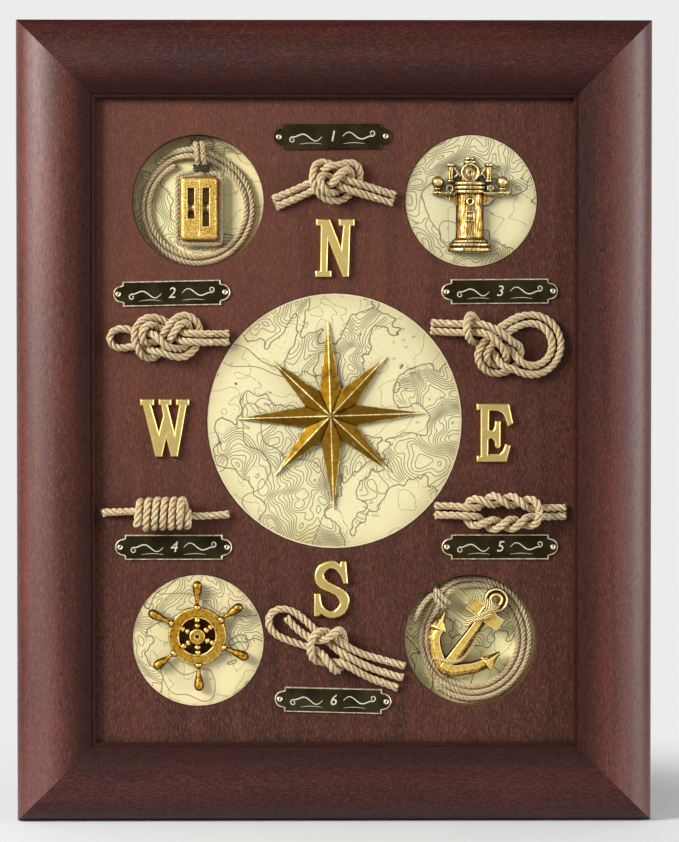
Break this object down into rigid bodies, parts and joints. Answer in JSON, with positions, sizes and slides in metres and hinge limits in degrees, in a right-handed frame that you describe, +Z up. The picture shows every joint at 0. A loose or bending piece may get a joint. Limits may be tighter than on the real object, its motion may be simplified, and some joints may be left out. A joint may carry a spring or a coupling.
{
  "type": "framed knot board",
  "caption": "Wall board with rope knots, compass rose, letters, plates and small nautical castings in a mahogany-stained frame, with hanging rings and turn buttons behind.",
  "frame": {"origin": "centre of the top rail's flat back face, where the board rests on a wall", "axes": "+Z up the board, +X to the viewer's right, +Y out of the back towards the wall; the face looks along -Y"},
  "size_m": [0.4, 0.0374, 0.504],
  "materials": {
    "moulding": "mahogany stain, satin varnish",
    "veneer": "mahogany stain, thin satin varnish",
    "hardboard": "bare hardboard",
    "chart_disc": "hardboard disc faced with aged printed paper, matt varnish",
    "chart_card": "aged printed card, matt",
    "gilt_casting": "gilt casting with dark lacquer in the hollows",
    "dark_brass": "dark, polished",
    "boxwood": "pale, mottled, satin",
    "hemp": "three-strand laid hemp",
    "zinc_steel": "zinc plated"
  },
  "bodies": {
    "board": {"frame_top_rail": "moulding", "frame_bottom_rail": "moulding", "frame_left_rail": "moulding", "frame_right_rail": "moulding", "display_panel": "veneer", "spacer_board": "hardboard", "back_board": "hardboard", "compass_chart_disc": "chart_disc", "binnacle_chart_disc": "chart_disc", "wheel_chart_disc": "chart_disc", "block_chart_card": "chart_card", "anchor_chart_card": "chart_card", "compass_rose": "gilt_casting", "letter_north": "gilt_casting", "letter_east": "gilt_casting", "letter_south": "gilt_casting", "letter_west": "gilt_casting", "plate_top": "dark_brass", "plate_upper_left": "dark_brass", "plate_upper_right": "dark_brass", "plate_lower_left": "dark_brass", "plate_lower_right": "dark_brass", "plate_bottom": "dark_brass", "pulley_block": "boxwood", "binnacle": "gilt_casting", "ships_wheel": "gilt_casting", "anchor": "gilt_casting", "block_rope_coil": "hemp", "block_strop": "hemp", "anchor_rope_coil": "hemp", "anchor_coil_lashing": "hemp", "knot_top_first": "hemp", "knot_top_second": "hemp", "knot_upper_left": "hemp", "knot_upper_right": "hemp", "knot_lower_left": "hemp", "knot_lower_right_first": "hemp", "knot_lower_right_second": "hemp", "knot_bottom_first": "hemp", "knot_bottom_second": "hemp", "left_hanger_strap": "zinc_steel", "left_hanger_screw": "zinc_steel", "right_hanger_strap": "zinc_steel", "right_hanger_screw": "zinc_steel", "button_screw_upper_left": "zinc_steel", "button_screw_upper_right": "zinc_steel", "button_screw_lower_left": "zinc_steel", "button_screw_lower_right": "zinc_steel"},
    "left_ring": {"left_hanger_ring": "zinc_steel"},
    "right_ring": {"right_hanger_ring": "zinc_steel"},
    "button_upper_left": {"turn_button_upper_left": "zinc_steel"},
    "button_upper_right": {"turn_button_upper_right": "zinc_steel"},
    "button_lower_left": {"turn_button_lower_left": "zinc_steel"},
    "button_lower_right": {"turn_button_lower_right": "zinc_steel"}
  },
  "joints": [
    {"name": "left_ring_hinge", "type": "hinge", "parent": "board", "child": "left_ring", "pos_m": [-0.179, 0.003, -0.142], "axis": [1, 0, 0], "range_deg": [0, 180]},
    {"name": "right_ring_hinge", "type": "hinge", "parent": "board", "child": "right_ring", "pos_m": [0.179, 0.003, -0.142], "axis": [1, 0, 0], "range_deg": [0, 180]},
    {"name": "upper_left_button_turn", "type": "hinge", "parent": "board", "child": "button_upper_left", "pos_m": [-0.1665, 0.0009, -0.092], "axis": [0, 1, 0], "continuous": true},
    {"name": "upper_right_button_turn", "type": "hinge", "parent": "board", "child": "button_upper_right", "pos_m": [0.1665, 0.0009, -0.092], "axis": [0, 1, 0], "continuous": true},
    {"name": "lower_left_button_turn", "type": "hinge", "parent": "board", "child": "button_lower_left", "pos_m": [-0.1665, 0.0009, -0.362], "axis": [0, 1, 0], "continuous": true},
    {"name": "lower_right_button_turn", "type": "hinge", "parent": "board", "child": "button_lower_right", "pos_m": [0.1665, 0.0009, -0.362], "axis": [0, 1, 0], "continuous": true}
  ]
}
